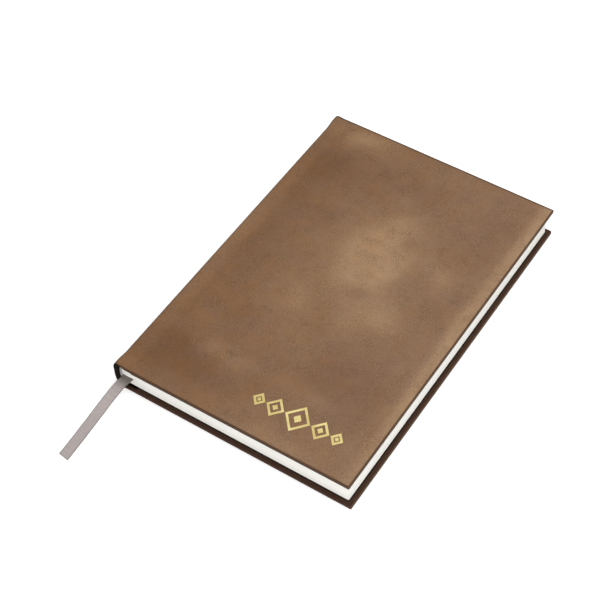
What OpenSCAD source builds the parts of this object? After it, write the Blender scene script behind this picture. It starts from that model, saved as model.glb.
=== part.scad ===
// A closed case-bound notebook that lies on its back cover. Millimetres, +Z up.
// +X is the fore-edge, -X the spine, +Y the head and -Y the tail.
// The origin is the middle of the closed book's underside.

/* [Closed book] */
// Length of the covers, from head to tail
cover_len = 213; // [150:1:300]
// Width of the closed book, from the spine to the fore-edge
book_w = 145; // [110:1:220]
// Thickness of the closed book
book_t = 20; // [14:0.5:36]
// How far the covers stand past the leaves at the head, tail and fore-edge
square = 2.9; // [1.5:0.1:5]

/* [Cover] */
// Thickness of the cover boards
board_t = 1.8; // [1.2:0.1:2.5]
// Thickness of the faux leather
leather_t = 0.35; // [0.2:0.05:0.5]
// Width of the leather that is turned in over the inside of the boards
turn_in = 15; // [8:1:25]
// Distance from the hinge line to the board's edge
joint_w = 6.5; // [5.5:0.1:9]
// Clearance of the leather's two edges where the cover turns past the spine
joint_gap = 0.2; // [0.1:0.05:0.4]

/* [Spine] */
// Radius of the rounded spine, outside
spine_r = 28; // [24:1:80]
// Radius of the rounding between the spine and the covers
shoulder_r = 3; // [2:0.25:4]
// Distance from the middle of that rounding to the hinge line
hinge_in = 2; // [1:0.25:3]
// Thickness of the spine card
inlay_t = 0.6; // [0.3:0.1:1]
// Margin of the spine card above and below, past the rounding
inlay_margin = 0.2; // [0:0.1:1]
// Room between the case and the lined back of the leaves
hollow = 0.15; // [0.1:0.05:0.4]
// Thickness of the paper strip on the back of the leaves
lining_t = 0.2; // [0.1:0.05:0.4]
// Thickness of the open cloth on the back of the leaves
mull_t = 0.2; // [0.1:0.05:0.4]

/* [Leaves] */
// Thickness of the endpapers
endpaper_t = 0.15; // [0.1:0.05:0.3]
// Room between a closed cover and the leaves
leaf_gap = 0.1; // [0.05:0.05:0.3]

/* [Headbands] */
// Diameter of the bands' corded edge
bead_d = 1.4; // [0.8:0.1:2]
// Length of the bands' cloth on the back of the leaves
skirt_len = 10; // [5:1:20]
// Margin of the bands from the two outer leaves
band_margin = 0.6; // [0.3:0.1:2]

/* [Ribbon marker] */
// Width of the ribbon
ribbon_w = 6.4; // [4:0.1:10]
// Thickness of the ribbon
ribbon_t = 0.3; // [0.2:0.05:0.4]
// Clearance between the ribbon and the leaves that it lies between
ribbon_gap = 0.1; // [0.05:0.05:0.2]
// Distance from the spine's rounding to the middle of the ribbon
ribbon_in = 2.5; // [2:0.25:30]
// Height of the ribbon above the lowest leaf
ribbon_up = 4.5; // [1:0.25:8]
// Distance from the leaves' head to the ribbon's glued end
ribbon_head = 3.6; // [1:0.2:20]

/* [Foil ornament] */
// Length of the row of lozenges, along the tail edge
ornament_w = 54; // [30:1:80]
// Height of the middle lozenge
ornament_h = 17; // [8:0.5:26]
// Distance from the fore-edge to the middle of the ornament
ornament_from_fore = 43.5; // [30:0.5:60]
// Distance from the tail edge to the middle of the ornament
ornament_from_tail = 20.5; // [15:0.5:60]
// Gap between one lozenge and the next
ornament_gap = 0.6; // [0.2:0.1:2]
// Width of the foil lines
foil_line = 1.3; // [0.6:0.1:1.6]
// Thickness of the foil
foil_t = 0.1; // [0.05:0.01:0.15]
// How far the foil is pressed into the leather
foil_press = 0.12; // [0.05:0.01:0.15]

/* [Hidden] */
$fn = 96;

// Colours
brown = [0.53, 0.41, 0.31];
brown_dark = [0.42, 0.32, 0.24];
paper_white = [0.95, 0.94, 0.90];
endpaper_cream = [0.93, 0.91, 0.85];
board_grey = [0.62, 0.60, 0.56];
cloth_white = [0.88, 0.87, 0.82];
kraft = [0.74, 0.62, 0.46];
ribbon_grey = [0.65, 0.61, 0.58];
foil_gold = [0.86, 0.79, 0.51];

// Covers
cover_t = board_t + 2 * leather_t;
fore_x = book_w / 2;
half_len = cover_len / 2;

// Spine: the middle of its arc, the middle of the rounding at its edges, and the hinge line
mid_z = book_t / 2;
arc_x = -book_w / 2 + spine_r;
shoulder_x = arc_x - sqrt(pow(spine_r - shoulder_r, 2) - pow(mid_z - shoulder_r, 2));
hinge_x = shoulder_x + hinge_in;
board_x = hinge_x + joint_w;
// The moving leather stays outside this radius round the hinge line, and the spine's leather inside the other
swing_r = joint_w - joint_gap;
rest_r = swing_r - joint_gap;
leather_x = hinge_x + sqrt(pow(swing_r, 2) - pow(cover_t - leather_t, 2));
strip_x = hinge_x + sqrt(pow(rest_r, 2) - pow(cover_t, 2));
inlay_h = book_t - 2 * (shoulder_r + inlay_margin);
// Depths of the spine's layers, from its outer face
inlay_in = leather_t + inlay_t;
lining_in = inlay_in + leather_t + hollow;
mull_in = lining_in + lining_t;
back_in = mull_in + mull_t;

// Leaves
text_t = book_t - 2 * (cover_t + leaf_gap + 2 * endpaper_t);
leaf_x = fore_x - square;
leaf_y = half_len - square;
flyleaf_z = cover_t + endpaper_t + leaf_gap;
text_z = flyleaf_z + endpaper_t;

// The ribbon lies between two leaves, from near the head to the tail. From there its loose end's points give the
// way along X and Y from where it leaves the leaves, and the height above the surface
ribbon_x = shoulder_x + ribbon_in;
ribbon_z = text_z + ribbon_up;
loose_end = [[-0.5, -2, 7.2], [-1.2, -5, 6.6], [-1.8, -8.5, 5.6], [-2.3, -12, 4.5], [-2.8, -15.5, 3.2],
    [-3.2, -19, 1.9], [-3.4, -22.5, 0.9], [-3.4, -26, 0.4], [-3.2, -29.5, 0.2], [-2.9, -34.5, 0.2],
    [-2.5, -39.5, 0.2], [-2.2, -44.5, 0.2], [-1.9, -49.5, 0.2], [-1.7, -54, 0.2]];
ribbon_route = concat([for (y = [leaf_y - ribbon_head, leaf_y / 3, -leaf_y / 3, -leaf_y + 1]) [ribbon_x, y, ribbon_z]],
    [for (p = loose_end) [ribbon_x + p[0], -leaf_y + p[1], p[2]]]);

// Ornament: heights of its lozenges as shares of the middle one, and the middle of the row
lozenge_share = [0.5, 0.72, 1, 0.72, 0.5];
share_sum = [for (s = lozenge_share) 1] * lozenge_share;
lozenge_w = (ornament_w - ornament_gap * (len(lozenge_share) - 1)) / share_sum;
ornament_at = [fore_x - ornament_from_fore, -half_len + ornament_from_tail];
core_share = 0.32;
over = 1;

// A flat section in X and Z, drawn out along Y
module along_y(y0, y1) {
    translate([0, y1, 0]) rotate([90, 0, 0]) linear_extrude(y1 - y0) children();
}

// A block between two corners
module block(low, high) {
    translate(low) cube(high - low);
}

// The back cover's pieces, turned over to make the front cover's
module as_front() {
    translate([0, 0, book_t]) mirror([0, 0, 1]) children();
}

// Section of the case's spine and joints, taken in from the outer face by inset and ending at x1
module spine_section(inset, x1) {
    tangent = [arc_x - shoulder_x, mid_z - shoulder_r] * spine_r / (spine_r - shoulder_r);
    translate([arc_x, mid_z]) intersection() {
        circle(spine_r - inset);
        polygon([[0, 0], [-tangent[0], tangent[1]] * 2, [-tangent[0], -tangent[1]] * 2]);
    }
    for (z = [shoulder_r, book_t - shoulder_r]) translate([shoulder_x, z]) circle(shoulder_r - inset);
    translate([shoulder_x, inset]) square([x1 - shoulder_x, book_t - 2 * inset]);
}

// A curved strip on the spine between two depths from its outer face, of height h
module spine_strip(in0, in1, h) {
    intersection() {
        translate([arc_x, mid_z]) difference() {
            circle(spine_r - in0);
            circle(spine_r - in1);
        }
        translate([arc_x - spine_r, mid_z - h / 2]) square([spine_r / 2, h]);
    }
}

module text_block() {
    color(paper_white) difference() {
        along_y(-leaf_y, leaf_y) intersection() {
            union() {
                translate([arc_x, mid_z]) circle(spine_r - back_in);
                translate([arc_x, 0]) square([leaf_x - arc_x, book_t]);
            }
            translate([arc_x - spine_r, text_z]) square([leaf_x - arc_x + spine_r, text_t]);
        }
        block([ribbon_x - ribbon_w / 2 - ribbon_gap, -leaf_y - over, ribbon_z - ribbon_t / 2 - ribbon_gap],
            [ribbon_x + ribbon_w / 2 + ribbon_gap, leaf_y + over, ribbon_z + ribbon_t / 2 + ribbon_gap]);
    }
}

// The loose half of an endpaper, against the leaves
module flyleaf() {
    color(endpaper_cream) block([shoulder_x, -leaf_y, flyleaf_z], [leaf_x, leaf_y, text_z]);
}

module spine_mull() {
    color(cloth_white) along_y(skirt_len - leaf_y, leaf_y - skirt_len) spine_strip(mull_in, back_in, text_t);
}

module spine_lining() {
    color(kraft) along_y(-leaf_y, leaf_y) spine_strip(lining_in, mull_in, text_t);
}

// A corded band at the head: its cloth is glued to the back, and its bead lies on the leaves' ends
module head_band() {
    band_h = text_t - 2 * band_margin;
    bead_r = bead_d / 2;
    bead_arc_r = spine_r - back_in - bead_r / 2;
    sweep = 2 * asin((band_h / 2 - bead_r) / bead_arc_r);
    color(cloth_white) {
        along_y(leaf_y - skirt_len, leaf_y + bead_r) spine_strip(mull_in, back_in, band_h);
        translate([arc_x, leaf_y + bead_r, mid_z]) rotate([90, 0, 0]) rotate([0, 0, 180 - sweep / 2])
            rotate_extrude(angle = sweep) translate([bead_arc_r, 0]) circle(bead_r, $fn = 24);
    }
}

module spine_inlay() {
    color(board_grey) along_y(leather_t - half_len, half_len - leather_t)
        spine_strip(leather_t, inlay_in, inlay_h);
}

// The case's leather over the spine and joints, turned in round the spine card at the head and tail
module spine_leather() {
    color(brown_dark) difference() {
        union() {
            along_y(-half_len, half_len) difference() {
                spine_section(0, strip_x);
                spine_section(leather_t, strip_x + over);
            }
            for (side = [-1, 1]) scale([1, side, 1]) along_y(half_len - turn_in, half_len) {
                difference() {
                    spine_section(0, strip_x);
                    spine_section(2 * leather_t, strip_x + over);
                }
                spine_strip(leather_t, inlay_in + leather_t, inlay_h + 2 * leather_t);
            }
        }
        along_y(leather_t - half_len, half_len - leather_t) spine_strip(leather_t, inlay_in, inlay_h);
    }
}

// Lozenge of the given width and height
module lozenge(w, h) {
    polygon([[w / 2, 0], [0, h / 2], [-w / 2, 0], [0, -h / 2]]);
}

// A lozenge outline with a small lozenge in it
module nested_lozenge(w, h) {
    inset_share = 1 - 2 * foil_line * sqrt(w * w + h * h) / (w * h);
    difference() {
        lozenge(w, h);
        lozenge(w * inset_share, h * inset_share);
    }
    lozenge(w * core_share, h * core_share);
}

module ornament() {
    for (i = [0:len(lozenge_share) - 1]) {
        before = i == 0 ? 0 : [for (k = [0:i - 1]) 1] * [for (k = [0:i - 1]) lozenge_share[k]];
        w = lozenge_w * lozenge_share[i];
        translate(ornament_at + [-ornament_w / 2 + lozenge_w * before + ornament_gap * i + w / 2, 0])
            nested_lozenge(w, ornament_h * lozenge_share[i]);
    }
}

module foil_ornament() {
    color(foil_gold) translate([0, 0, book_t - foil_press]) linear_extrude(foil_t) ornament();
}

module ribbon_marker() {
    // Eight corners round the ribbon's flat section: across it, and through it
    corners = [for (s = [[-0.5, 0.25], [-0.48, 0.5], [0.48, 0.5], [0.5, 0.25], [0.5, -0.25], [0.48, -0.5],
        [-0.48, -0.5], [-0.5, -0.25]]) [s[0] * ribbon_w, s[1] * ribbon_t]];
    n = len(corners);
    last = len(ribbon_route) - 1;
    function unit(v) = v / norm(v);
    function heading(i) = unit(ribbon_route[min(i + 1, last)] - ribbon_route[max(i - 1, 0)]);
    function across(i) = unit(cross(heading(i), [0, 0, 1]));
    function through(i) = cross(across(i), heading(i));
    points = [for (i = [0:last]) for (c = corners) ribbon_route[i] + across(i) * c[0] + through(i) * c[1]];
    sides = [for (i = [0:last - 1]) for (k = [0:n - 1])
        [i * n + k, i * n + (k + 1) % n, (i + 1) * n + (k + 1) % n, (i + 1) * n + k]];
    ends = [[for (k = [n - 1:-1:0]) k], [for (k = [0:n - 1]) last * n + k]];
    color(ribbon_grey) polyhedron(points, concat(sides, ends));
}

// Pieces of a cover, drawn as the back cover that lies at the bottom
module cover_board() {
    color(board_grey) block([board_x, leather_t - half_len, leather_t],
        [fore_x - leather_t, half_len - leather_t, leather_t + board_t]);
}

module cover_leather() {
    difference() {
        block([leather_x, -half_len, 0], [fore_x, half_len, cover_t]);
        block([leather_x - over, leather_t - half_len, leather_t],
            [fore_x - leather_t, half_len - leather_t, leather_t + board_t]);
        block([leather_x - over, turn_in - half_len, leather_t], [fore_x - turn_in, half_len - turn_in, cover_t + over]);
        block([leather_x - over, -half_len - over, leather_t], [board_x, half_len + over, cover_t + over]);
    }
}

// The pasted half of an endpaper. It dips off the turned-in leather onto the board
module pastedown() {
    dip_x = fore_x - turn_in - endpaper_t;
    dip_y = half_len - turn_in - endpaper_t;
    board_z = leather_t + board_t;
    color(endpaper_cream) difference() {
        union() {
            block([board_x, -leaf_y, cover_t], [leaf_x, leaf_y, cover_t + endpaper_t]);
            block([board_x, -dip_y - endpaper_t, board_z], [dip_x + endpaper_t, dip_y + endpaper_t, cover_t]);
        }
        block([board_x - over, -dip_y, board_z + endpaper_t], [dip_x, dip_y, cover_t + endpaper_t + over]);
    }
}

text_block();
as_front() flyleaf();  // front_flyleaf
flyleaf();  // back_flyleaf
spine_mull();
spine_lining();
head_band();  // headband
mirror([0, 1, 0]) head_band();  // tailband
spine_inlay();
spine_leather();
ribbon_marker();
as_front() cover_board();  // front_board
color(brown) difference() {  // front_leather
    as_front() cover_leather();
    translate([0, 0, book_t - foil_press]) linear_extrude(foil_press + over) ornament();
}
as_front() pastedown();  // front_pastedown
foil_ornament();
cover_board();  // back_board
color(brown) cover_leather();  // back_leather
pastedown();  // back_pastedown
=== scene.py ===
# Looks of a closed case-bound notebook in brown faux leather, with a ribbon marker and a foil ornament.
# All shapes are worked out in millimetres, +X to the fore-edge and +Y to the head, and go into meshes in metres.
import math

import bmesh
import bpy
import numpy as np
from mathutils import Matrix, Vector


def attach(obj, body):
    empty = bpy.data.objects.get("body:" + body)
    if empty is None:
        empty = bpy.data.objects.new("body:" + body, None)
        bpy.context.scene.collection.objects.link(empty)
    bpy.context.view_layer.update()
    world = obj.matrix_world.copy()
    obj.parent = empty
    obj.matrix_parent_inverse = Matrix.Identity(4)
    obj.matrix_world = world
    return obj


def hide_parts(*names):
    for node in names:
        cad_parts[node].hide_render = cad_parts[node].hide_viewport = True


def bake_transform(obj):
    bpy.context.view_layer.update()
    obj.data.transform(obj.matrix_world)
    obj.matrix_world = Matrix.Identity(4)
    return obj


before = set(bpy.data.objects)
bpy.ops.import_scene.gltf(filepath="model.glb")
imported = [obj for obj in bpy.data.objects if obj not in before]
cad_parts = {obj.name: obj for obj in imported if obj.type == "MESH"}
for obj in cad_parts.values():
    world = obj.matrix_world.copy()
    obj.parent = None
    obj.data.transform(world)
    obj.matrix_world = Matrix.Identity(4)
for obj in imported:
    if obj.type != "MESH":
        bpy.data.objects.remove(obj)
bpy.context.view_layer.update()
mm = 0.001
print("frame loaded")

# Sizes that several pieces share
book = {
    "length": 213.0, "width": 145.0, "thick": 20.0,
    "coverThick": 2.5, "leatherThick": 0.35, "turnIn": 15.0,
    "square": 2.9,           # covers past the leaves
    "spineRadius": 28.0, "shoulderRadius": 3.0,
    "hingeX": -66.5,
    "backDepth": 1.85,       # from the spine's outer face to the back of the leaves
    "leavesLow": 2.9,        # height of the lowest leaf
    "endpaperThick": 0.15,
}
foreX = book["width"] / 2
halfLen = book["length"] / 2
midZ = book["thick"] / 2
arcX = book["spineRadius"] - foreX
shoulderX = arcX - math.sqrt((book["spineRadius"] - book["shoulderRadius"]) ** 2
                             - (midZ - book["shoulderRadius"]) ** 2)
leafX = foreX - book["square"]
leafY = halfLen - book["square"]


def ease(t):
    # Rises from 0 to 1 with flat ends: three t squared less two t cubed
    t = np.clip(t, 0, 1)
    return t * t * (3 - 2 * t)


def stations(*stretches):
    # Joined stretches, each (from, to, step), with every join kept once
    parts = [np.linspace(a, b, max(2, int(round(abs(b - a) / step)) + 1)) for a, b, step in stretches]
    return np.concatenate([parts[0]] + [p[1:] for p in parts[1:]])


def gridQuads(rows, cols, wrap=False):
    # Corner numbers of the quads between points that are numbered row by row
    r = np.arange(rows - 1)[:, None]
    c = np.arange(cols if wrap else cols - 1)[None, :]
    a, b = r * cols + c, r * cols + (c + 1) % cols
    return np.stack([a, b, b + cols, a + cols], -1).reshape(-1, 4)


def boxSurface(us, vs, ws):
    # The six sides of a box as grids over three lists of places, with their quads facing outwards
    axes = [np.asarray(us, float), np.asarray(vs, float), np.asarray(ws, float)]
    points, quads, count = [], [], 0
    for k in range(3):
        a, b = axes[(k + 1) % 3], axes[(k + 2) % 3]
        for side in (0, -1):
            grid = np.zeros((len(a), len(b), 3))
            grid[..., (k + 1) % 3] = a[:, None]
            grid[..., (k + 2) % 3] = b[None, :]
            grid[..., k] = axes[k][side]
            q = gridQuads(len(a), len(b)) + count
            quads.append(q if side == 0 else q[:, ::-1])
            points.append(grid.reshape(-1, 3))
            count += len(a) * len(b)
    return np.concatenate(points), np.concatenate(quads)


def makePiece(name, points, quads, fields=None, uv=None, weld=True):
    # A mesh object at the origin from points in millimetres. Fields are values per point, kept as attributes
    mesh = bpy.data.meshes.new(name)
    mesh.vertices.add(len(points))
    mesh.vertices.foreach_set("co", (points * mm).astype(np.float32).ravel())
    mesh.loops.add(quads.size)
    mesh.loops.foreach_set("vertex_index", quads.astype(np.int32).ravel())
    mesh.polygons.add(len(quads))
    mesh.polygons.foreach_set("loop_start", np.arange(0, quads.size, 4, dtype=np.int32))
    mesh.update(calc_edges=True)
    rest = mesh.attributes.new("restPlace", "FLOAT_VECTOR", "POINT")
    rest.data.foreach_set("vector", (points * mm).astype(np.float32).ravel())
    for key, values in (fields or {}).items():
        made = mesh.attributes.new(key, "FLOAT", "POINT")
        made.data.foreach_set("value", np.asarray(values, np.float32).ravel())
    if uv is not None:
        layer = mesh.uv_layers.new(name="own")
        layer.data.foreach_set("uv", uv[quads.ravel()].astype(np.float32).ravel())
    if weld:
        shell = bmesh.new()
        shell.from_mesh(mesh)
        bmesh.ops.remove_doubles(shell, verts=shell.verts, dist=2e-7)
        bmesh.ops.dissolve_degenerate(shell, edges=shell.edges, dist=1e-7)
        shell.to_mesh(mesh)
        shell.free()
    piece = bpy.data.objects.new(name, mesh)
    bpy.context.scene.collection.objects.link(piece)
    return piece


def thicken(piece, thick, side):
    # Gives a sheet its thickness and keeps the result as the piece's mesh
    wall = piece.modifiers.new("wall", "SOLIDIFY")
    wall.thickness = thick * mm
    wall.offset = side
    wall.use_quality_normals = True
    bpy.context.view_layer.update()
    done = bpy.data.meshes.new_from_object(piece.evaluated_get(bpy.context.evaluated_depsgraph_get()))
    piece.modifiers.clear()
    piece.data = done


def outward(piece):
    # Turns every face of a closed mesh to face out
    shell = bmesh.new()
    shell.from_mesh(piece.data)
    bmesh.ops.recalc_face_normals(shell, faces=shell.faces)
    shell.to_mesh(piece.data)
    shell.free()


def dress(piece, material, sharpAngle):
    # Smooth shading with creases where faces meet at more than the angle, and one material
    piece.data.polygons.foreach_set("use_smooth", np.ones(len(piece.data.polygons), bool))
    piece.data.set_sharp_from_angle(angle=math.radians(sharpAngle))
    piece.data.materials.clear()
    piece.data.materials.append(material)


# Node helpers
def colour(r, g, b):
    # A screen colour from 0 to 255 as the linear values that shaders take
    s = np.array([r, g, b]) / 255.0
    return (*np.where(s <= 0.04045, s / 12.92, ((s + 0.055) / 1.055) ** 2.4), 1.0)


def addNode(tree, kind, inputs=None, **settings):
    made = tree.nodes.new("ShaderNode" + kind)
    for key, value in settings.items():
        setattr(made, key, value)
    for key, value in (inputs or {}).items():
        if isinstance(value, bpy.types.NodeSocket):
            tree.links.new(value, made.inputs[key])
        else:
            made.inputs[key].default_value = value
    return made


def newMaterial(name, **sockets):
    # A Principled shader with the given values on its own sockets
    made = bpy.data.materials.new(name)
    made.use_nodes = True
    tree = made.node_tree
    tree.nodes.clear()
    shader = addNode(tree, "BsdfPrincipled")
    addNode(tree, "OutputMaterial", {"Surface": shader.outputs[0]})
    for key, value in sockets.items():
        shader.inputs[key.replace("_", " ")].default_value = value
    return made, tree, shader


def mixColours(tree, share, a, b):
    # Blends two colours by a share, and each may be a socket or a plain value
    made = addNode(tree, "Mix", data_type="RGBA")
    for slot, value in ((0, share), (6, a), (7, b)):
        if isinstance(value, bpy.types.NodeSocket):
            tree.links.new(value, made.inputs[slot])
        else:
            made.inputs[slot].default_value = value if slot == 0 else colour(*value)
    return made.outputs[2]


def ramp(tree, value, *stops):
    # Colours between given places from 0 to 1
    made = addNode(tree, "ValToRGB", {"Fac": value})
    made.color_ramp.interpolation = "EASE"
    while len(made.color_ramp.elements) < len(stops):
        made.color_ramp.elements.new(0.5)
    for element, (place, shade) in zip(made.color_ramp.elements, stops):
        element.position = place
        element.color = colour(*shade)
    return made.outputs["Color"]


def calc(tree, operation, a, b=0.0, c=0.0):
    return addNode(tree, "Math", {0: a, 1: b, 2: c}, operation=operation).outputs[0]


def readField(tree, name, output="Fac"):
    return addNode(tree, "Attribute", attribute_name=name).outputs[output]


def noise(tree, place, scale, detail=2.0, roughness=0.5, stretch=None):
    if stretch:
        place = addNode(tree, "Mapping", {"Vector": place, "Scale": stretch}).outputs[0]
    return addNode(tree, "TexNoise", {"Vector": place, "Scale": scale, "Detail": detail,
                                      "Roughness": roughness}).outputs["Fac"]


def surface(tree, shader, shade, height, strength, distance):
    # Gives a shader its colour, and a bump whose distance is in metres
    tree.links.new(shade, shader.inputs["Base Color"])
    bump = addNode(tree, "Bump", {"Height": height, "Strength": strength, "Distance": distance})
    tree.links.new(bump.outputs[0], shader.inputs["Normal"])


def woven(tree, place, scale, distortion):
    # Two sets of threads at right angles, as waves along Y and along Z
    return [addNode(tree, "TexWave", {"Vector": place, "Scale": scale, "Distortion": distortion},
                    bands_direction=way).outputs["Fac"] for way in "YZ"]


# Camera, from the photograph's own perspective
view = {
    "place": (0.29213, -0.44007, 0.65387),
    "right": (0.83433, 0.55001, -0.03722),
    "down": (0.40697, -0.66008, -0.63141),
    "ahead": (-0.37185, 0.51166, -0.77455),
    "lens": 1539.7 / 600 * 36,
}


def makeCamera():
    # The camera's own axes as columns: right, up, back
    data = bpy.data.cameras.new("camera")
    data.sensor_width, data.lens = 36, view["lens"]
    data.clip_start, data.clip_end = 0.05, 20
    camera = bpy.data.objects.new("camera", data)
    bpy.context.scene.collection.objects.link(camera)
    right, up, back = np.array(view["right"]), -np.array(view["down"]), -np.array(view["ahead"])
    placed = np.eye(4)
    placed[:3, :3] = np.stack([right, up, back], 1)
    placed[:3, 3] = view["place"]
    camera.matrix_world = placed.T.tolist()      # Blender takes a list as columns
    bpy.context.scene.camera = camera


makeCamera()
print("camera placed")

# Ribbon marker: a flat woven ribbon, glued at the head between two leaves, that hangs out at the tail
ribbon = {
    "x": -66.0, "z": 7.4, "width": 6.4, "thick": 0.3,
    "inside": [99.4, 103.6 / 3, -103.6 / 3, -102.6],
    "loose": [[-0.5, -2, 7.2], [-1.2, -5, 6.6], [-1.8, -8.5, 5.6], [-2.3, -12, 4.5], [-2.8, -15.5, 3.2],
              [-3.2, -19, 1.9], [-3.4, -22.5, 0.9], [-3.4, -26, 0.4], [-3.2, -29.5, 0.2], [-2.9, -34.5, 0.2],
              [-2.5, -39.5, 0.2], [-2.2, -44.5, 0.2], [-1.9, -49.5, 0.2], [-1.7, -54, 0.2]],
    "slant": 1.2,            # how much longer the fore side of the cut end is
    "cutOver": 8.0,          # the stretch over which the cut's slant sets in
    "rim": 0.86,             # share of the half width past which the ribbon is thicker
    "selvedge": 0.45,        # width of the woven edge
    "ribPitch": 0.42, "warpPitch": 0.3,      # distances between the cross ribs and between the long threads
    "paintedShadeReach": 9.0, "paintedShadeOver": 8.0,     # painted shade on the stretch by the leaves, under the front cover's overhang
    "tones": [(0.1, (140, 129, 127)), (0.5, (176, 165, 162)), (0.95, (202, 192, 189))],
    "edgeColour": (100, 96, 92), "paintedShadeColour": (92, 85, 74),
}


def alongRoute(points, perSpan):
    # A curve through the points: between two of them a cubic whose ends head along the neighbours
    p = np.asarray(points, float)
    before = np.vstack([2 * p[:1] - p[1:2], p, 2 * p[-1:] - p[-2:-1]])
    t = (np.arange(perSpan) / perSpan)[None, :, None]
    a, b, c, d = (before[i:len(before) - 3 + i][:, None] for i in range(4))
    lb, lc, ld = (np.linalg.norm(v - u, axis=-1, keepdims=True) for u, v in ((a, b), (b, c), (c, d)))
    mb = (c - b) * 0.5 + (b - a) / lb * lc * 0.5
    mc = (d - c) / ld * lc * 0.5 + (c - b) * 0.5
    curve = ((2 * t**3 - 3 * t**2 + 1) * b + (t**3 - 2 * t**2 + t) * mb
             + (3 * t**2 - 2 * t**3) * c + (t**3 - t**2) * mc)
    return np.vstack([curve.reshape(-1, 3), p[-1:]])


def makeRibbon():
    # A flat section, thicker at its two woven edges, carried along the route with its width level
    route = [[ribbon["x"], y, ribbon["z"]] for y in ribbon["inside"]]
    route += [[ribbon["x"] + x, -leafY + y, z] for x, y, z in ribbon["loose"]]
    centre = alongRoute(route, 10)
    heading = np.gradient(centre, axis=0)
    heading /= np.linalg.norm(heading, axis=1, keepdims=True)
    across = np.cross(heading, [0, 0, 1])
    across /= np.linalg.norm(across, axis=1, keepdims=True)
    through = np.cross(across, heading)
    half = ribbon["width"] / 2
    rim = np.array([ribbon["rim"], 0.93, 0.985, 1])
    s = np.concatenate([-rim[::-1], np.linspace(-0.8, 0.8, 9), rim])
    rise = ribbon["thick"] / 2 * np.where(np.abs(s) > ribbon["rim"], 1.0, 0.8)
    rise = rise * np.where(np.abs(s) > 0.99, 0.45, 1.0)
    ring = np.concatenate([np.stack([s, rise], 1), np.stack([s, -rise], 1)[::-1]])
    gone = np.concatenate([[0], np.cumsum(np.linalg.norm(np.diff(centre, axis=0), axis=1))])
    last = ease((gone - (gone[-1] - ribbon["cutOver"])) / ribbon["cutOver"])
    slide = last[:, None] * (ring[None, :, 0] / 2 * ribbon["slant"] - 0.2)
    points = (centre[:, None] + across[:, None] * (ring[None, :, :1] * half)
              + through[:, None] * ring[None, :, 1:] - heading[:, None] * slide[..., None])
    n, m = len(centre), len(ring)
    quads = gridQuads(n, m, wrap=True)[:, ::-1]
    k = np.arange(m // 2 - 1)
    cap = np.stack([k, k + 1, m - 2 - k, m - 1 - k], 1)
    quads = np.vstack([quads, cap[:, ::-1], cap + (n - 1) * m])
    uv = np.stack([np.broadcast_to(ring[None, :, 0] * half, (n, m)), np.broadcast_to(gone[:, None], (n, m))], -1)
    # Painted shade: darker inside the book and a short way out from the leaves, where the cover shades the ribbon
    shade = ease((centre[:, 1] + leafY + ribbon["paintedShadeReach"]) / ribbon["paintedShadeOver"])
    sealed = np.arange(n) >= n - 1
    fields = {"shade": np.repeat(shade, m), "sealed": np.repeat(sealed, m)}
    piece = makePiece("ribbon", points.reshape(-1, 3), quads, fields, uv=uv.reshape(-1, 2), weld=False)
    outward(piece)
    return piece, centre, gone[-1]


def ribbonMaterial():
    # Satin: fine ribs across from the length, a twill shimmer, darker woven edges
    made, tree, shader = newMaterial("ribbonSatin", Roughness=0.42, Sheen_Weight=0.35, Sheen_Roughness=0.4,
                                     Anisotropic=0.35)
    place = addNode(tree, "UVMap", uv_map="own").outputs[0]
    parts = addNode(tree, "SeparateXYZ", {"Vector": place})
    aside, down = parts.outputs[0], parts.outputs[1]
    wobble = noise(tree, place, 0.6, 2)
    ribs = calc(tree, "SINE", calc(tree, "MULTIPLY", down, 2 * math.pi / ribbon["ribPitch"]))
    threads = calc(tree, "SINE", calc(tree, "MULTIPLY", aside, 2 * math.pi / ribbon["warpPitch"]))
    weave = calc(tree, "MULTIPLY", ribs, calc(tree, "MULTIPLY_ADD", threads, 0.3, 0.7))
    edge = calc(tree, "GREATER_THAN", calc(tree, "ABSOLUTE", aside), ribbon["width"] / 2 - ribbon["selvedge"])
    edge = calc(tree, "MAXIMUM", edge, readField(tree, "sealed"))
    tone = calc(tree, "MULTIPLY_ADD", wobble, 0.5, calc(tree, "MULTIPLY_ADD", weave, 0.16, 0.25))
    shade = ramp(tree, tone, *ribbon["tones"])
    shade = mixColours(tree, calc(tree, "MULTIPLY", edge, 0.7), shade, ribbon["edgeColour"])
    # Painted shade near the leaves, from the shade field
    darker = calc(tree, "MULTIPLY", readField(tree, "shade"), 0.75)
    shade = mixColours(tree, darker, shade, ribbon["paintedShadeColour"])
    surface(tree, shader, shade, weave, 0.35, 0.00005)
    return made


ribbonPiece, ribbonPath, ribbonLength = makeRibbon()
dress(ribbonPiece, ribbonMaterial(), 50)
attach(ribbonPiece, "block")
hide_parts("ribbon_marker")
print("ribbon laid,", round(ribbonLength, 1), "mm")

# Ornament: a row of nested lozenges, in foil pressed into the front cover
ornament = {
    "width": 54.0, "height": 17.0, "gap": 0.6, "line": 1.3,
    "shares": [0.5, 0.72, 1, 0.72, 0.5], "core": 0.32,
    "centre": (foreX - 43.5, -halfLen + 20.5),
    "press": 0.12, "pressEdge": 0.55,
    "top": 19.975, "bottom": 19.88, "bevel": 0.04,
    "tones": [(0.3, (206, 186, 118)), (0.7, (228, 212, 146))],
}


def lozenges():
    # Middle, half width and half height of each lozenge of the row
    shares = np.array(ornament["shares"])
    unit = (ornament["width"] - ornament["gap"] * (len(shares) - 1)) / shares.sum()
    widths = unit * shares
    starts = np.concatenate([[0], np.cumsum(widths[:-1] + ornament["gap"])]) - ornament["width"] / 2
    return [(ornament["centre"][0] + s + w / 2, ornament["centre"][1], w / 2, ornament["height"] * h / 2)
            for s, w, h in zip(starts, widths, shares)]


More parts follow.
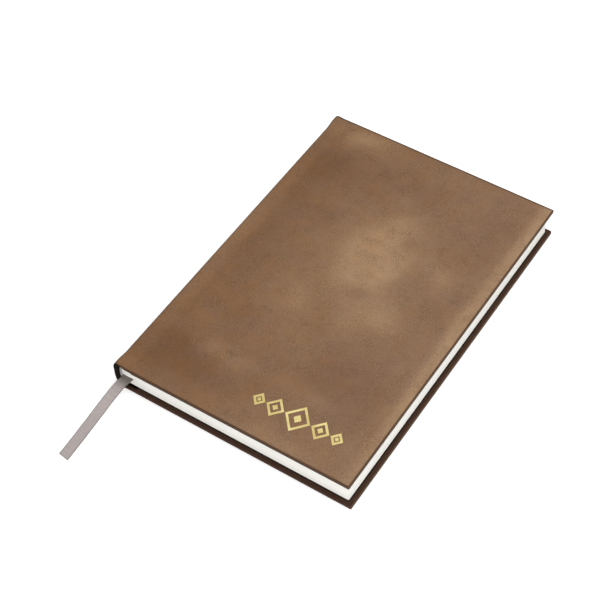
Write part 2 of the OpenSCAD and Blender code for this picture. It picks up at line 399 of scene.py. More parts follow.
def pressedDepth(x, y):
    # Depth of the leather under the foil: full inside its outlines, easing out over a short way round them
    inside = np.full(np.broadcast(x, y).shape, -9.0)
    for cx, cy, a, b in lozenges():
        q = np.abs(x - cx) / a + np.abs(y - cy) / b
        reach = a * b / math.hypot(a, b)
        edge = (1 - q) * reach
        ring = np.minimum(edge, ornament["line"] - edge)
        inside = np.maximum(inside, np.maximum(ring, (ornament["core"] - q) * reach))
    return ornament["press"] * ease(1 + inside / ornament["pressEdge"])


# Leather case: one skin for each cover, which runs from the middle of the spine over the joint to the fore-edge
leather = {
    "edgeRadius": 0.55,      # rounding of the covers' edges
    "jointThick": 0.72,      # two layers of leather at the joint
    "spineThick": 1.3,       # leather, card and turned-in leather
    "boardFrom": -61.2, "boardOver": 1.2,                    # where the case thickens from the joint to the board
    "jointFill": 1.3, "fillFrom": 104.0, "fillOver": 1.1,    # gathered leather at the ends of the joint
    "gatherX": -68.5, "gatherOver": 4.5,                     # and where it sets in beside the spine
    "lip": 1.3, "lipFrom": 104.7, "lipOver": 0.8, "lipX": -68.0, "lipWide": 1.5,     # caps lean over the bands
    "dip": 0.34, "dipX": -61.2, "dipWide": 2.4, "dipFade": 9.0,                      # groove along the joint
    "ridge": 0.07, "ridgeX": -66.4, "ridgeWide": 0.9,        # faint ridge beside it
    "capBulge": 0.55, "capFrom": 95.5, "capOver": 9.0, "capX": -67.4, "capWide": 3.2,    # thicker ends of the spine
    "wave": 0.02, "waveFrom": -58.0, "waveOver": 6.0,        # slow unevenness of the covers
    # How far each cover stands out of square: at the spine and fore ends of its tail and head edges, and at the
    # tail and head ends of its fore-edge
    "frontTrim": {"tail": (0.62, 0.04), "head": (0.67, -0.25), "fore": (-0.25, -0.25)},
    "backTrim": {"tail": (0, 0), "head": (0, 0), "fore": (0.7, 0)},
    "trimFrom": -50.0,       # the spine end of the trims
    # The covers' edges are dark over a short reach, partly their own darker cut edge and partly painted shade on the
    # edge faces, and the shoulders' flanks carry painted shade from a height below the middle
    "darkReach": 0.6, "headDarkReach": 1.0,
    "flankPaintedShade": 1.0, "flankX": -69.7, "flankWide": 1.2, "flankBelow": 5.5, "flankOver": 2.0,
    # Painted shade on the turned-in margin, under the front cover and the leaves: darkest by the leaves and paler by
    # this share towards its rim
    "marginPaler": 0.62, "palerFrom": 0.3, "palerOver": 0.9,
    "tones": [(0.1, (119, 86, 61)), (0.42, (148, 113, 84)), (0.62, (165, 130, 98)), (0.97, (206, 169, 129))],
    "hues": [(142, 114, 100), (153, 112, 74)], "hueShare": 0.38,
    # The edge colour is the leather's darker edge with painted shade in it
    "creaseColour": (84, 58, 40), "poreColour": (96, 68, 46), "edgeColour": (70, 49, 35),
    "marginShadeTones": [(0.35, (66, 46, 37)), (1.0, (16, 11, 8))],
    # Clouds of lighter and darker tone on each cover, partly the leather's own mottling and partly painted light,
    # lighter in the middle and darker along the spine side: middle, reach along X and Y, and strength
    "contrast": 1.86,
    "frontClouds": [
        (8, 22, 20, 24, 0.34), (26, -8, 22, 14, 0.2), (-20, 8, 26, 40, 0.06), (-56, 20, 13, 95, -0.13),
        (-40, 75, 30, 18, -0.12), (-50, -84, 34, 16, -0.2), (20, 85, 45, 12, 0.03), (-48, 98, 16, 8, 0.18),
        (-22, -72, 14, 8, 0.14), (36, -55, 20, 16, -0.1), (12, 52, 14, 14, 0.12), (-8, -40, 12, 18, 0.06),
        (32, -72, 16, 7, 0.07), (71, 0, 7, 140, 0.26), (30, -103, 40, 7, 0.1), (-67, 0, 4.5, 75, 0.06),
        (46, 28, 11, 12, 0.15), (70, 84, 7, 30, 0.1), (15, 43, 7, 9, -0.14), (11, -1, 8, 6, -0.13),
        (-33, -46, 9, 9, -0.12), (-34, -73, 7, 6, 0.14), (-18, -16, 9, 9, 0.1), (-34, 36, 9, 9, -0.08),
        (6, 24, 8, 10, 0.09), (-64, 6, 7, 24, 0.06), (21, -6, 10, 9, -0.06), (10, 98, 28, 8, 0.08),
        (16, -25, 8, 7, 0.07), (-60, -32, 9, 12, 0.05), (54, 42, 12, 16, 0.05), (-8, -22, 7, 8, 0.05),
        (54, -91, 12, 8, 0.07), (-54, 92, 10, 10, 0.05), (-60, -84, 12, 8, 0.05), (-15, -26, 6, 6, 0.06),
        (-17, -75, 7, 5, 0.07), (1, 33, 6, 7, 0.06), (32, 39, 6, 7, 0.06), (-4, 68, 7, 7, 0.04),
    ],
    "backClouds": [
        (-12, -30, 26, 22, 0.26), (30, 34, 24, 18, 0.2), (-52, 0, 14, 90, -0.14), (40, -80, 30, 18, -0.12),
        (-20, 70, 30, 20, 0.1), (10, 0, 16, 12, 0.12), (71, 0, 7, 140, 0.14), (-67, 0, 4.5, 75, 0.1),
    ],
}


def trimmed(x, y, z, trim):
    # Shifts the edges out by their two ends' shares, less and less towards the middle, and not on the round spine
    t = np.clip((x - leather["trimFrom"]) / (foreX - leather["trimFrom"]), 0, 1)
    s = np.clip((y + halfLen) / book["length"], 0, 1)
    flat = 1 - ease((z - 3) / 5)
    head = (trim["head"][0] * (1 - t) + trim["head"][1] * t) * np.clip(y / halfLen, 0, 1)
    tail = (trim["tail"][0] * (1 - t) + trim["tail"][1] * t) * np.clip(-y / halfLen, 0, 1)
    fore = (trim["fore"][0] * (1 - s) + trim["fore"][1] * s) * t
    return x + fore * flat, y + (head - tail) * flat


def onBoard(x):
    # 0 where two layers of leather are all there is, and 1 over the board
    return ease((x - leather["boardFrom"]) / leather["boardOver"])


def caseSection(fine):
    # Outer and inner points of the lower cover's section with matching numbers, from the middle of the spine
    # to the fore-edge: an arc, the rounding of the shoulder, and a straight run along the board. A fine one has
    # close points where the ornament is pressed in
    tangent = math.degrees(math.atan2(midZ - book["shoulderRadius"], arcX - shoulderX))
    a = np.radians(np.linspace(180, 180 + tangent, 17))
    arc, arcIn = (np.stack([arcX + np.cos(a) * r, midZ + np.sin(a) * r], 1)
                  for r in (book["spineRadius"], book["spineRadius"] - leather["spineThick"]))
    b = np.radians(np.linspace(180 + tangent, 270, 13))[1:]
    r = book["shoulderRadius"]
    thinner = leather["jointThick"] - leather["spineThick"]
    thick = leather["spineThick"] + thinner * ease((np.degrees(b) - 200) / 60)
    turn = np.stack([shoulderX + np.cos(b) * r, r + np.sin(b) * r], 1)
    turnIn = np.stack([shoulderX + np.cos(b) * (r - thick), r + np.sin(b) * (r - thick)], 1)
    end = foreX - leather["edgeRadius"]
    runs = [(shoulderX, -67, 0.5), (-67, -59.5, 0.25), (-59.5, -57, 0.5)]
    if fine:
        runs += [(-57, -0.5, 3), (-0.5, 57.5, 0.46), (57.5, end - 1, 1.6), (end - 1, end, 0.25)]
    else:
        runs += [(-57, 57.5, 3), (57.5, end - 1, 1.6), (end - 1, end, 0.25)]
    x = stations(*runs)[1:]
    flat = np.stack([x, np.zeros_like(x)], 1)
    inZ = leather["jointThick"] + (book["coverThick"] - leather["jointThick"]) * onBoard(x)
    flatIn = np.stack([x, inZ], 1)
    outer, inner = np.vstack([arc, turn, flat]), np.vstack([arcIn, turnIn, flatIn])
    return outer, inner


def foreEdge():
    # The rounded fore-edge of a cover, from its lower face to its upper, without the two end points
    r = leather["edgeRadius"]
    low, high = np.radians(np.linspace(270, 360, 7))[1:], np.radians(np.linspace(0, 90, 7))[:-1]
    lowC, highC = np.array([foreX - r, r]), np.array([foreX - r, book["coverThick"] - r])
    points = np.vstack([lowC + r * np.stack([np.cos(low), np.sin(low)], 1),
                        highC + r * np.stack([np.cos(high), np.sin(high)], 1)])
    centres = np.vstack([np.tile(lowC, (len(low), 1)), np.tile(highC, (len(high), 1))])
    return points, centres


def cloudTone(x, y, clouds):
    # Lightness of the leather from 0 to 1: a middle tone plus a bell for each cloud, spread out by the contrast
    tone = np.zeros(np.broadcast(x, y).shape)
    for cx, cy, rx, ry, strength in clouds:
        tone = tone + strength * np.exp(-((x - cx) / rx) ** 2 - ((y - cy) / ry) ** 2)
    return 0.5 + tone * leather["contrast"]


def makeCase(name, upper):
    # The section is carried from tail to head. At both ends it draws in along its rungs on a quarter circle, which
    # rounds the edge, and a strip between its outer and inner points closes it. Inside, only the turned-in margin
    # of the leather stays. All is made as the lower cover, and the upper one is turned over at the end
    outer, inner = caseSection(upper)
    edge, edgeCentre = foreEdge()
    rung = inner - outer
    long = np.linalg.norm(rung, axis=1)
    rung /= long[:, None]
    thin = 1 - onBoard(outer[:, 0])
    fill = leather["jointFill"] * thin * ease((outer[:, 0] - leather["gatherX"]) / leather["gatherOver"])
    roundOff = np.minimum(leather["edgeRadius"], 0.48 * (long + fill))
    n, m = len(outer), len(edge)
    section = np.vstack([outer, edge, inner[::-1]])
    edgeIn = edgeCentre - edge
    edgeLong = np.linalg.norm(edgeIn, axis=1)
    drawIn = np.vstack([rung, edgeIn / edgeLong[:, None], -rung[::-1]])
    reach = np.concatenate([roundOff, edgeLong, roundOff[::-1]])

    angles = np.radians([90, 70, 50, 30, 12])
    straight = halfLen - leather["edgeRadius"]
    # Close rows at the ends, and on the front also where the ornament is pressed in
    if upper:
        between = [(-104.2, -95.5, 1.0), (-95.5, -77, 0.46), (-77, 91.5, 3)]
    else:
        between = [(-104.2, -91.5, 1.0), (-91.5, 91.5, 3)]
    middle = stations((-straight, -104.2, 0.25), *between, (91.5, 104.2, 1.0), (104.2, straight, 0.25))
    rows = [(-1, math.cos(a), math.sin(a), 0) for a in angles] + [(0, 1, 0, y) for y in middle] + \
           [(1, math.cos(a), math.sin(a), 0) for a in angles[::-1]]
    side, stay, outShare, given = (v[:, None] for v in np.array(rows).T)
    inShare = 1 - stay
    ends = side * (halfLen - reach[None] + reach[None] * outShare)
    y = np.where(side == 0, given * (halfLen - reach[None]) / straight, ends)
    x = section[None, :, 0] + drawIn[None, :, 0] * reach[None] * inShare
    z = section[None, :, 1] + drawIn[None, :, 1] * reach[None] * inShare

    fromEnd = halfLen - np.abs(y)
    x, y = trimmed(x, y, z, leather["frontTrim" if upper else "backTrim"])

    # Relief, as a depth along the rungs. Both faces follow the groove and the ridge at the joint. Only the outer one
    # has the caps' bulge, the slow waves and the pressed ornament, and only the inner one is filled at the ends
    outFace = (np.arange(len(section)) < n)[None]
    across = np.concatenate([rung, np.zeros((m, 2)), rung[::-1]])      # into the cover, for both faces
    sx, fromMiddle = section[:, 0][None], np.abs(y)
    dip = leather["dip"] * np.exp(-((sx - leather["dipX"]) / leather["dipWide"]) ** 2)
    dip = dip * ease((halfLen - 0.5 - fromMiddle) / leather["dipFade"])
    dip = dip - leather["ridge"] * np.exp(-((sx - leather["ridgeX"]) / leather["ridgeWide"]) ** 2)
    cap = leather["capBulge"] * ease((fromMiddle - leather["capFrom"]) / leather["capOver"])
    cap = cap * ease((leather["capX"] - sx) / leather["capWide"])
    wave = leather["wave"] * (np.sin(sx / 9 + y / 13) + np.sin(sx / 5.3 - y / 21 + 1))
    wave = wave * ease((sx - leather["waveFrom"]) / leather["waveOver"])
    thin, fill = (np.concatenate([v, np.zeros(m), v[::-1]])[None] for v in (thin, fill))
    gathered = ease((fromMiddle - leather["fillFrom"]) / leather["fillOver"])
    lip = leather["lip"] * ease((fromMiddle - leather["lipFrom"]) / leather["lipOver"])
    lip = lip * ease((leather["lipX"] - sx) / leather["lipWide"])
    pressed = pressedDepth(x, y) if upper else 0
    sink = np.where(outFace, dip + wave - cap + pressed, dip * thin * (1 - gathered) + fill * gathered + lip)
    x = x + across[None, :, 0] * sink
    z = z + across[None, :, 1] * sink

    k, total = len(rows), len(section)
    points = np.stack([x, y, z], -1).reshape(-1, 3)
    quads = gridQuads(k, total)
    centre = points[quads].mean(1)
    column = quads[:, 0] % total
    margin = (np.abs(centre[:, 1]) >= halfLen - book["turnIn"]) | (centre[:, 0] >= foreX - book["turnIn"])
    quads = quads[(column < n + m) | margin]
    j = np.arange(n - 1)
    strip = np.stack([j, j + 1, total - 2 - j, total - 1 - j], 1)
    quads = np.vstack([quads[:, ::-1], strip[:, ::-1], strip + (k - 1) * total])

    # How light each point is, how dark as an edge, partly with painted shade, and how much painted shade it takes on
    # the turned-in margin and on the spine's inner walls at its ends
    tone = cloudTone(points[:, 0], points[:, 1], leather["frontClouds" if upper else "backClouds"])
    place = np.broadcast_to(np.arange(total)[None], (k, total)).reshape(-1)
    sectionX, sectionZ = section[place].T
    atHead = points[:, 1] > 0
    # Darker edges: partly the leather's own edge, partly painted shade on the edge faces
    endReach = np.where(atHead & upper, leather["headDarkReach"], leather["darkReach"])
    dark = ease(1.6 - np.minimum(fromEnd.reshape(-1) / endReach, (foreX - sectionX) / leather["darkReach"]))
    # Painted shade on the spine's flank below its middle, which faces away from the light
    flankShade = leather["flankPaintedShade"] * ease((leather["flankX"] - sectionX) / leather["flankWide"])
    flankShade = flankShade * ease((midZ - leather["flankBelow"] - sectionZ) / leather["flankOver"])
    rowNow = np.repeat(np.arange(k), total)
    isEnd = (rowNow <= 2) | (rowNow >= k - 3)
    onSpine = ease((book["hingeX"] - sectionX) / 1.5)
    pastLeaves = np.maximum(sectionX - leafX, halfLen - leafY - fromEnd.reshape(-1))
    paler = leather["marginPaler"] * ease((pastLeaves - leather["palerFrom"]) / leather["palerOver"])
    # Painted shade on the turned-in margin and on the spine's inner walls at the caps
    marginShade = np.maximum((place >= n + m) * (1 - paler * (1 - onSpine)), isEnd * onSpine)
    if upper:
        points[:, 2] = book["thick"] - points[:, 2]
        quads = quads[:, ::-1]
    else:
        points[:, 2] = np.maximum(points[:, 2], 0)          # the floor's side stays level
    piece = makePiece(name, points, quads, {"tone": tone, "edge": np.maximum(dark, flankShade), "inner": marginShade})
    thicken(piece, book["leatherThick"] - 0.02, -1)
    return piece


def leatherMaterial():
    # Cloudy brown with a fine pebble grain. The tone field carries the clouds, and noise breaks them up
    made, tree, shader = newMaterial("fauxLeather", Roughness=0.5, IOR=1.35, Specular_IOR_Level=0.1)
    place = readField(tree, "restPlace", "Vector")
    tone = readField(tree, "tone")
    broad = noise(tree, place, 26, 3, 0.55)
    middle = noise(tree, place, 95, 4, 0.6)
    fineStain = noise(tree, place, 480, 3, 0.65)
    grainNoise = addNode(tree, "TexNoise", {"Vector": place, "Scale": 700.0, "Detail": 3.0})
    bent = addNode(tree, "VectorMath", {0: grainNoise.outputs["Color"], 1: (0.0013,) * 3}, operation="MULTIPLY")
    moved = addNode(tree, "VectorMath", {0: place, 1: bent.outputs[0]}, operation="ADD").outputs[0]
    cells = addNode(tree, "TexVoronoi", {"Vector": moved, "Scale": 1150.0}, feature="DISTANCE_TO_EDGE")
    creases = addNode(tree, "MapRange", {"Value": cells.outputs["Distance"], "From Min": 0.0, "From Max": 0.3},
                      interpolation_type="SMOOTHSTEP").outputs[0]
    pores = noise(tree, place, 2600, 2, 0.6)
    mix = calc(tree, "ADD", tone, calc(tree, "MULTIPLY_ADD", broad, 0.5, -0.25))
    mix = calc(tree, "ADD", mix, calc(tree, "MULTIPLY_ADD", middle, 0.44, -0.22))
    mix = calc(tree, "ADD", mix, calc(tree, "MULTIPLY_ADD", fineStain, 0.16, -0.08))
    base = ramp(tree, mix, *leather["tones"])
    # The hue wanders between golden and greyish brown, greyer towards the fore-edge
    aside = addNode(tree, "SeparateXYZ", {"Vector": place}).outputs[0]
    hue = addNode(tree, "MapRange", {"Value": noise(tree, place, 80, 3, 0.6), "From Min": 0.35, "From Max": 0.65,
                                     "To Min": 0.1, "To Max": 0.8}).outputs[0]
    hue = calc(tree, "MULTIPLY_ADD", aside, -5.0, hue)
    tint = mixColours(tree, hue, *leather["hues"])
    base = mixColours(tree, leather["hueShare"], base, tint)
    # The creases between the pebbles show more in some places than in others
    patchy = calc(tree, "MULTIPLY", calc(tree, "SUBTRACT", 1.0, creases),
                  calc(tree, "MULTIPLY_ADD", middle, 1.3, -0.33))
    base = mixColours(tree, patchy, base, leather["creaseColour"])
    base = mixColours(tree, calc(tree, "MULTIPLY", pores, 0.2), base, leather["poreColour"])
    # Darker edges and shoulder flanks, with painted shade in them
    darker = calc(tree, "MULTIPLY", readField(tree, "edge"), 0.88)
    base = mixColours(tree, darker, base, leather["edgeColour"])
    # Painted shade on the turned-in margin and the caps' inner walls
    inner = readField(tree, "inner")
    marginShadeTone = ramp(tree, inner, *leather["marginShadeTones"])
    base = mixColours(tree, calc(tree, "MINIMUM", calc(tree, "MULTIPLY", inner, 2.8), 0.96), base, marginShadeTone)
    gloss = calc(tree, "MULTIPLY_ADD", inner, 0.45, calc(tree, "MULTIPLY_ADD", middle, 0.12, 0.42))
    tree.links.new(gloss, shader.inputs["Roughness"])
    height = calc(tree, "ADD", calc(tree, "MULTIPLY", creases, 0.7), calc(tree, "MULTIPLY", pores, 0.5))
    height = calc(tree, "ADD", height, calc(tree, "MULTIPLY", fineStain, 0.9))
    surface(tree, shader, base, height, 0.8, 0.00015)
    return made


leatherSkin = leatherMaterial()
frontCase = makeCase("frontCase", True)
backCase = makeCase("backCase", False)
for piece, cover, node, z in ((frontCase, "front_cover", "front_leather", 0.0175),
                              (backCase, "back_cover", "back_leather", 0.0025)):
    dress(piece, leatherSkin, 40)
    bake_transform(piece)
    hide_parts(node, "spine_leather")
print("leather case made")


# Foil: each lozenge line is a low rounded band round four mitred corners, and each core a low lozenge
def makeFoil():
    top, low, bevel = ornament["top"], ornament["bottom"], ornament["bevel"]
    points, quads, count = [], [], 0
    turns = np.array([[1, 0], [0, 1], [-1, 0], [0, -1]], float)
    for cx, cy, a, b in lozenges():
        reach = a * b / math.hypot(a, b)
        line, coreIn = ornament["line"], (1 - ornament["core"]) * reach
        # Both sections as distances inside the lozenge's outline and heights
        lineSection = [(0, low), (0, top - bevel), (bevel, top),
                       (line - bevel, top), (line, top - bevel), (line, low)]
        coreSection = [(coreIn, low), (coreIn, top - bevel), (coreIn + bevel, top), (reach, top)]
        for section in (lineSection, coreSection):
            inset, z = np.array(section, float).T
            share = 1 - inset / reach
            ring = np.stack([cx + turns[:, :1] * a * share, cy + turns[:, 1:] * b * share,
                             np.broadcast_to(z, (len(turns), len(z)))], -1)
            points.append(ring.reshape(-1, 3))
            cols = len(section)
            here = np.arange(len(turns))[:, None] * cols
            there = np.roll(here, -1)
            c = np.arange(cols - 1)[None]
            side = np.stack([here + c, there + c, there + c + 1, here + c + 1], -1).reshape(-1, 4)
            if section is lineSection:
                floor = np.hstack([here + cols - 1, there + cols - 1, there, here])
            else:
                floor = here[::-1].T
            quads += [side + count, floor + count]
            count += len(turns) * cols
    piece = makePiece("foilOrnament", np.vstack(points), np.vstack(quads))
    outward(piece)
    return piece


def foilMaterial():
    # Pale gold: metal with a faint uneven sheen and the leather's grain showing through
    made, tree, shader = newMaterial("paleGoldFoil", Metallic=0.75, Roughness=0.38)
    place = addNode(tree, "TexCoord").outputs["Object"]
    patch = noise(tree, place, 120, 3, 0.6)
    shade = ramp(tree, patch, *ornament["tones"])
    tree.links.new(calc(tree, "MULTIPLY_ADD", patch, 0.15, 0.3), shader.inputs["Roughness"])
    surface(tree, shader, shade, noise(tree, place, 1500, 2, 0.5), 0.15, 0.00004)
    return made


foil = makeFoil()
dress(foil, foilMaterial(), 30)
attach(foil, "front_cover")
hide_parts("foil_ornament")
print("foil ornament made")

# Leaves: two stacks that part where the ribbon lies, with every leaf's edge in the mesh
leaves = {
    "leafThick": 0.1, "foldedLeaves": 8, "valley": 0.035, "uneven": 0.02, "seed": 7,
    "ribbonRoom": 0.26, "ribbonWide": 4.6, "ribbonReach": 1.4,
    "hollowFore": 0.25,      # how far the fore-edge is hollow in the middle
    "foreTrim": 0.6,         # how far the leaves stand out at the fore-edge's tail end
    "tones": [(0.0, (218, 215, 206)), (0.5, (246, 244, 239)), (1.0, (251, 250, 246))],
}


def makeLeaves():
    # Each stack is a box whose sides step in a little between two leaves. Its spine side follows the round back,
    # its fore-edge is slightly hollow, and the leaves next to the ribbon bow away from it
    rng = np.random.default_rng(leaves["seed"])
    low, high = book["leavesLow"], book["thick"] - book["leavesLow"]
    backR = book["spineRadius"] - book["backDepth"]
    allPoints, allQuads, allTone, count = [], [], [], 0
    for z0, z1 in ((low, ribbon["z"] - 0.01), (ribbon["z"] + 0.01, high)):
        many = int(round((z1 - z0) / leaves["leafThick"]))
        step = (z1 - z0) / many
        i = np.arange(many)
        levels = np.append(z0 + np.stack([i * step, (i + 0.22) * step, (i + 0.78) * step], 1).ravel(), z1)
        us = stations((0, 0.06, 0.008), (0.06, 1, 0.055))
        vs = stations((0, 1, 0.045))
        points, quads = boxSurface(us, vs, levels)
        u, v, z = points.T
        leaf = np.clip(((z - z0) / step + 1e-6).astype(int), 0, many - 1)
        rung = np.mod((z - z0) / step + 1e-6, 1)
        valley = (rung < 0.1) & (z > z0 + 0.01) & (z < z1 - 0.01)
        inset = rng.uniform(0, leaves["uneven"], (3, many + 1))[:, leaf] + leaves["valley"] * valley
        spineX = arcX - np.sqrt(backR**2 - (z - midZ) ** 2)
        fore = leafX - leaves["hollowFore"] * (1 - ((z - midZ) / (high - midZ)) ** 2)
        onFore, onHead, onTail = u > 0.999, v > 0.999, v < 0.001
        fore = fore + leaves["foreTrim"] * (1 - v)
        x = spineX + (fore - spineX) * u - inset[0] * onFore
        y = -leafY + 2 * leafY * v - inset[1] * onHead + inset[2] * onTail
        away = np.exp(-((x - ribbon["x"]) / leaves["ribbonWide"]) ** 4)
        push = leaves["ribbonRoom"] * away * np.exp(-np.abs(z - ribbon["z"]) / leaves["ribbonReach"])
        z = np.clip(z + np.sign(z - ribbon["z"]) * push, low, high)
        tones = rng.uniform(0, 1, many + 1)
        folds = rng.uniform(0, 1, many + 1)
        tone = 0.3 + 0.35 * tones[leaf] + 0.35 * folds[leaf // leaves["foldedLeaves"]]
        # Painted shade: the gaps between leaves take the darkest tone
        allTone.append(np.where(valley, 0.0, tone))
        allPoints.append(np.stack([x, y, z], 1))
        allQuads.append(quads + count)
        count += len(points)
    return makePiece("leaves", np.vstack(allPoints), np.vstack(allQuads), {"leafTone": np.concatenate(allTone)})


def paperMaterial():
    # White uncoated paper: leaf edges differ a little in tone, with painted shade as darker lines in the gaps
    # between them
    made, tree, shader = newMaterial("leafPaper", Roughness=0.85, Specular_IOR_Level=0.25)
    place = addNode(tree, "TexCoord").outputs["Object"]
    tone = readField(tree, "leafTone")
    fibre = noise(tree, place, 900, 3, 0.6, (0.25, 0.25, 6))
    shade = ramp(tree, tone, *leaves["tones"])
    shade = mixColours(tree, calc(tree, "MULTIPLY", fibre, 0.1), shade, (230, 226, 215))
    surface(tree, shader, shade, fibre, 0.2, 0.00003)
    return made


leafStack = makeLeaves()
dress(leafStack, paperMaterial(), 25)
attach(leafStack, "block")
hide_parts("text_block")
print("leaves stacked")

# Endpapers: the pasted half, which follows the turned-in leather's step and crosses the joint to the leaves
endpaper = {
    "stepOver": 0.9, "wave": 0.012,
    "foldX": -68.2, "foldZ": 2.6, "riseX": -60.3, "riseOver": 2.5,       # the rise across the joint
    "tones": [(0.3, (238, 235, 228)), (0.7, (246, 243, 237))],
}


def makeEndpaper(name, upper):
    # A sheet whose height follows the board: level on the turned-in leather, lower on the bare board by the
    # leather's thickness, and rising across the joint to meet the loose half
    bx, by = foreX - book["turnIn"], halfLen - book["turnIn"]         # the turned-in leather's rim
    x = stations((endpaper["foldX"], -67, 0.4), (-67, -59.5, 0.25), (-59.5, bx - 1.2, 3),
                 (bx - 1.2, bx + 0.3, 0.25), (bx + 0.3, leafX, 1.5))
    y = stations((-leafY, -by - 0.3, 1.5), (-by - 0.3, -by + 1.2, 0.25), (-by + 1.2, by - 1.2, 3),
                 (by - 1.2, by + 0.3, 0.25), (by + 0.3, leafY, 1.5))
    gx, gy = np.meshgrid(x, y, indexing="ij")
    inside = ease((bx - gx) / endpaper["stepOver"]) * ease((by - np.abs(gy)) / endpaper["stepOver"])
    z = book["coverThick"] - (book["leatherThick"] - 0.01) * inside
    z = z - endpaper["wave"] * inside * (1 + np.sin(gx / 11 + gy / 17))
    z = z + (endpaper["foldZ"] - z) * ease((endpaper["riseX"] - gx) / endpaper["riseOver"])
    points = np.stack([gx, gy, z], -1).reshape(-1, 3)
    quads = gridQuads(len(x), len(y))[:, ::-1]
    if upper:
        points[:, 2] = book["thick"] - points[:, 2]
        quads = quads[:, ::-1]
    piece = makePiece(name, points, quads)
    thicken(piece, book["endpaperThick"], 1)
    return piece


def endpaperMaterial():
    # Smooth off-white paper with faint fibres
    made, tree, shader = newMaterial("endpaper", Roughness=0.8, Specular_IOR_Level=0.3)
    place = readField(tree, "restPlace", "Vector")
    fibre = noise(tree, place, 1500, 4, 0.7)
    blotch = noise(tree, place, 60, 2, 0.5)
    tone = calc(tree, "MULTIPLY_ADD", fibre, 0.85, calc(tree, "MULTIPLY", blotch, 0.15))
    shade = ramp(tree, tone, *endpaper["tones"])
    surface(tree, shader, shade, fibre, 0.1, 0.00002)
    return made


endpaperSheet = endpaperMaterial()
for name, upper, cover, node, z in (("frontEndpaper", True, "front_cover", "front_pastedown", 0.0175),
                                    ("backEndpaper", False, "back_cover", "back_pastedown", 0.0025)):
    piece = makeEndpaper(name, upper)
    dress(piece, endpaperSheet, 40)
    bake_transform(piece)
    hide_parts(node)
print("endpapers made")

# Head and tail bands: a corded bead of two thread colours on a strip of cloth
band = {
    "bead": 1.4, "skirt": 10.0, "thick": 0.2, "height": 13.0,
    "threadPitch": 0.62, "threadRise": 0.05,
    # The thread tones are greys darker than white thread: painted shade under the spine's cap
    "tones": [(0.2, (128, 127, 125)), (0.8, (176, 174, 170))],
}


def makeBand(name, side):
    # A tube along the round back whose radius swells over each slanting thread and shrinks to points at its ends,
    # and a curved strip of cloth behind it
    beadR = band["bead"] / 2
    backR = book["spineRadius"] - book["backDepth"]
    arcR = backR - beadR / 2
    reachA = math.asin((band["height"] / 2 - beadR) / arcR)
    along = np.linspace(-reachA - beadR / arcR, reachA + beadR / arcR, 150)
    over = np.clip((np.abs(along) - reachA) * arcR / beadR, 0, 1)
    girth = beadR * np.sqrt(1 - over**2) * 0.94
    turn = np.linspace(0, 2 * math.pi, 18, endpoint=False)
    s = along * arcR
    phase = 2 * math.pi * s[:, None] / band["threadPitch"] + turn[None]
    swell = girth[:, None] * (1 + band["threadRise"] * np.abs(np.sin(phase / 2)))
    radial = arcR + swell * np.cos(turn)[None]
    x = arcX - radial * np.cos(along)[:, None]
    z = midZ + radial * np.sin(along)[:, None]
    y = leafY + beadR + swell * np.sin(turn)[None]
    tube = np.stack([x, y, z], -1).reshape(-1, 3)
    tubeQuads = gridQuads(len(along), len(turn), wrap=True)
    thread = np.floor(phase / (2 * math.pi)).reshape(-1) % 2
    a = np.linspace(-1, 1, 25) * math.asin(band["height"] / 2 / (backR + band["thick"]))
    strip, stripQuads = boxSurface(a, np.linspace(leafY - band["skirt"], leafY + beadR, 12),
                                   [backR, backR + band["thick"] * 0.9])
    bend, down, out = strip.T
    cloth = np.stack([arcX - out * np.cos(bend), down, midZ + out * np.sin(bend)], 1)
    points = np.vstack([tube, cloth])
    points[:, 1] *= side
    fields = {"thread": np.concatenate([thread, np.full(len(cloth), 0.5)])}
    piece = makePiece(name, points, np.vstack([tubeQuads, stripQuads + len(tube)]), fields)
    outward(piece)
    return piece


def bandMaterial():
    # Glossy thread in two greys, darkened from white and light grey as painted shade under the spine's cap, on cloth
    # with a plain weave
    made, tree, shader = newMaterial("bandCloth", Roughness=0.6, Sheen_Weight=0.3)
    place = addNode(tree, "TexCoord").outputs["Object"]
    shade = ramp(tree, readField(tree, "thread"), *band["tones"])
    weave = calc(tree, "MULTIPLY", *woven(tree, place, 620.0, 0.6))
    shade = mixColours(tree, calc(tree, "MULTIPLY", weave, 0.2), shade, (140, 138, 133))
    surface(tree, shader, shade, weave, 0.3, 0.00004)
    return made


bandThread = bandMaterial()
for name, node, side in (("headBand", "headband", 1), ("tailBand", "tailband", -1)):
    piece = makeBand(name, side)
    dress(piece, bandThread, 50)
    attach(piece, "block")
    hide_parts(node)
print("bands made")


# Finishes of the CAD pieces that keep their shape
def boardMaterial():
    # Grey millboard with flecks
    made, tree, shader = newMaterial("greyBoard", Roughness=0.9, Specular_IOR_Level=0.2)
    place = addNode(tree, "TexCoord").outputs["Object"]
    fleck = noise(tree, place, 1400, 4, 0.7)
    shade = ramp(tree, fleck, (0.3, (138, 132, 122)), (0.5, (160, 155, 146)), (0.8, (182, 178, 168)))
    surface(tree, shader, shade, fleck, 0.3, 0.00005)
    return made


def kraftMaterial():
    # Brown paper with long faint laid lines
    made, tree, shader = newMaterial("kraftPaper", Roughness=0.8, Specular_IOR_Level=0.25)
    place = addNode(tree, "TexCoord").outputs["Object"]
    fibre = noise(tree, place, 900, 4, 0.7, (1, 0.15, 1))
    shade = ramp(tree, fibre, (0.3, (170, 140, 104)), (0.7, (198, 168, 128)))
    surface(tree, shader, shade, fibre, 0.2, 0.00003)
    return made


def mullMaterial():
    # Open starched cloth: two sets of threads crossing
    made, tree, shader = newMaterial("mullCloth", Roughness=0.85)
    place = addNode(tree, "TexCoord").outputs["Object"]
    weave = calc(tree, "MAXIMUM", *woven(tree, place, 260.0, 0.4))
    shade = ramp(tree, weave, (0.3, (196, 190, 172)), (0.8, (232, 229, 218)))
    surface(tree, shader, shade, weave, 0.4, 0.00006)
    return made


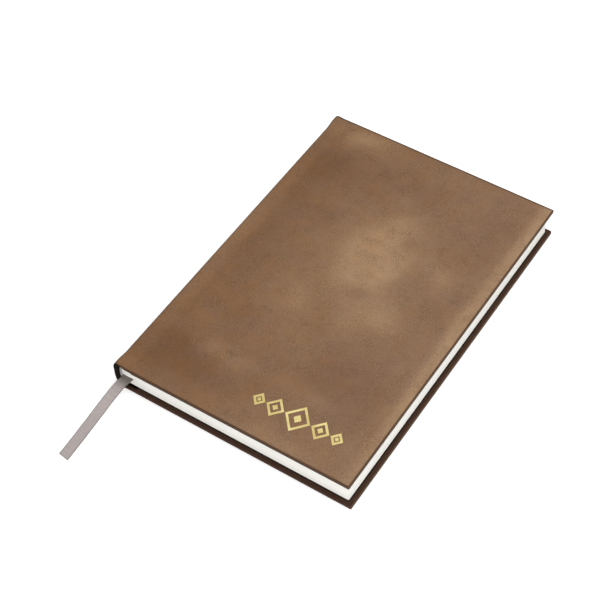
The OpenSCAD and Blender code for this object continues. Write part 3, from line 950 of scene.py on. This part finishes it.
def flyleafMaterial():
    # The loose half of an endpaper. Its mesh is the CAD's, so the pattern lies on Object coordinates
    made, tree, shader = newMaterial("flyleafPaper", Roughness=0.8, Specular_IOR_Level=0.3)
    place = addNode(tree, "TexCoord").outputs["Object"]
    fibre = noise(tree, place, 1500, 4, 0.7)
    shade = ramp(tree, fibre, (0.3, (239, 236, 229)), (0.7, (246, 243, 237)))
    surface(tree, shader, shade, fibre, 0.08, 0.00001)
    return made


greyBoard, kraft, mull, flyleafPaper = boardMaterial(), kraftMaterial(), mullMaterial(), flyleafMaterial()
for node, material, slot in (("front_board", greyBoard, "grey_board"), ("back_board", greyBoard, "grey_board"),
                             ("spine_inlay", greyBoard, "grey_board"), ("spine_lining", kraft, "kraft_paper"),
                             ("spine_mull", mull, "binding_cloth"), ("front_flyleaf", flyleafPaper, "endpaper"),
                             ("back_flyleaf", flyleafPaper, "endpaper")):
    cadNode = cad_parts[node]
    cadNode.data.materials.clear()
    cadNode.data.materials.append(material)
print("CAD pieces finished")

# Stage: a white floor that keeps the shadow, a white world, and soft lamps at a plain level
stage = {
    "floorSize": 60.0, "floorColour": (0.84, 0.84, 0.84, 1.0), "floorGlow": 0.52,
    "worldLight": 0.56,
    "lamps": [  # place, size and watts of each soft lamp, which faces the book
        ((0.4, 0.2, 1.25), 0.9, 5.3),
        ((0.8, -1.2, 0.48), 0.9, 11.5),
    ],
}


def seenShare(tree):
    # 1 for what the camera sees, also in a mirror or through glass, and 0 for light that falls on things
    path = addNode(tree, "LightPath")
    return calc(tree, "MAXIMUM", path.outputs["Is Camera Ray"],
                calc(tree, "MAXIMUM", path.outputs["Is Glossy Ray"], path.outputs["Is Transmission Ray"]))


def makeStage():
    size = stage["floorSize"] / 2
    mesh = bpy.data.meshes.new("floor")
    mesh.from_pydata([(-size, -size, 0), (size, -size, 0), (size, size, 0), (-size, size, 0)], [], [(0, 1, 2, 3)])
    floor = bpy.data.objects.new("floor", mesh)
    bpy.context.scene.collection.objects.link(floor)
    made = bpy.data.materials.new("whiteFloor")
    made.use_nodes = True
    tree = made.node_tree
    tree.nodes.clear()
    # The floor's own white plus a little glow that only the camera, mirrors and glass see
    plain = addNode(tree, "BsdfDiffuse", {"Color": stage["floorColour"]})
    glow = addNode(tree, "Emission", {"Strength": calc(tree, "MULTIPLY", seenShare(tree), stage["floorGlow"])})
    both = addNode(tree, "AddShader", {0: plain.outputs[0], 1: glow.outputs[0]})
    addNode(tree, "OutputMaterial", {"Surface": both.outputs[0]})
    mesh.materials.append(made)

    world = bpy.data.worlds.new("studio")
    bpy.context.scene.world = world
    world.use_nodes = True
    tree = world.node_tree
    tree.nodes.clear()
    strength = calc(tree, "MULTIPLY_ADD", seenShare(tree), 1 - stage["worldLight"], stage["worldLight"])
    light = addNode(tree, "Background", {"Color": (1, 1, 1, 1), "Strength": strength})
    addNode(tree, "OutputWorld", {"Surface": light.outputs[0]})

    for number, (place, wide, watts) in enumerate(stage["lamps"]):
        lamp = bpy.data.lights.new("lamp%d" % number, "AREA")
        lamp.size, lamp.energy = wide, watts
        held = bpy.data.objects.new("lamp%d" % number, lamp)
        held.location = place
        aim = np.array([0, 0, 0.01]) - np.array(place)
        held.rotation_mode = "QUATERNION"
        held.rotation_quaternion = Vector(aim).to_track_quat("-Z", "Y")
        bpy.context.scene.collection.objects.link(held)


makeStage()
bpy.context.scene.view_settings.view_transform = "Standard"
print("stage lit")
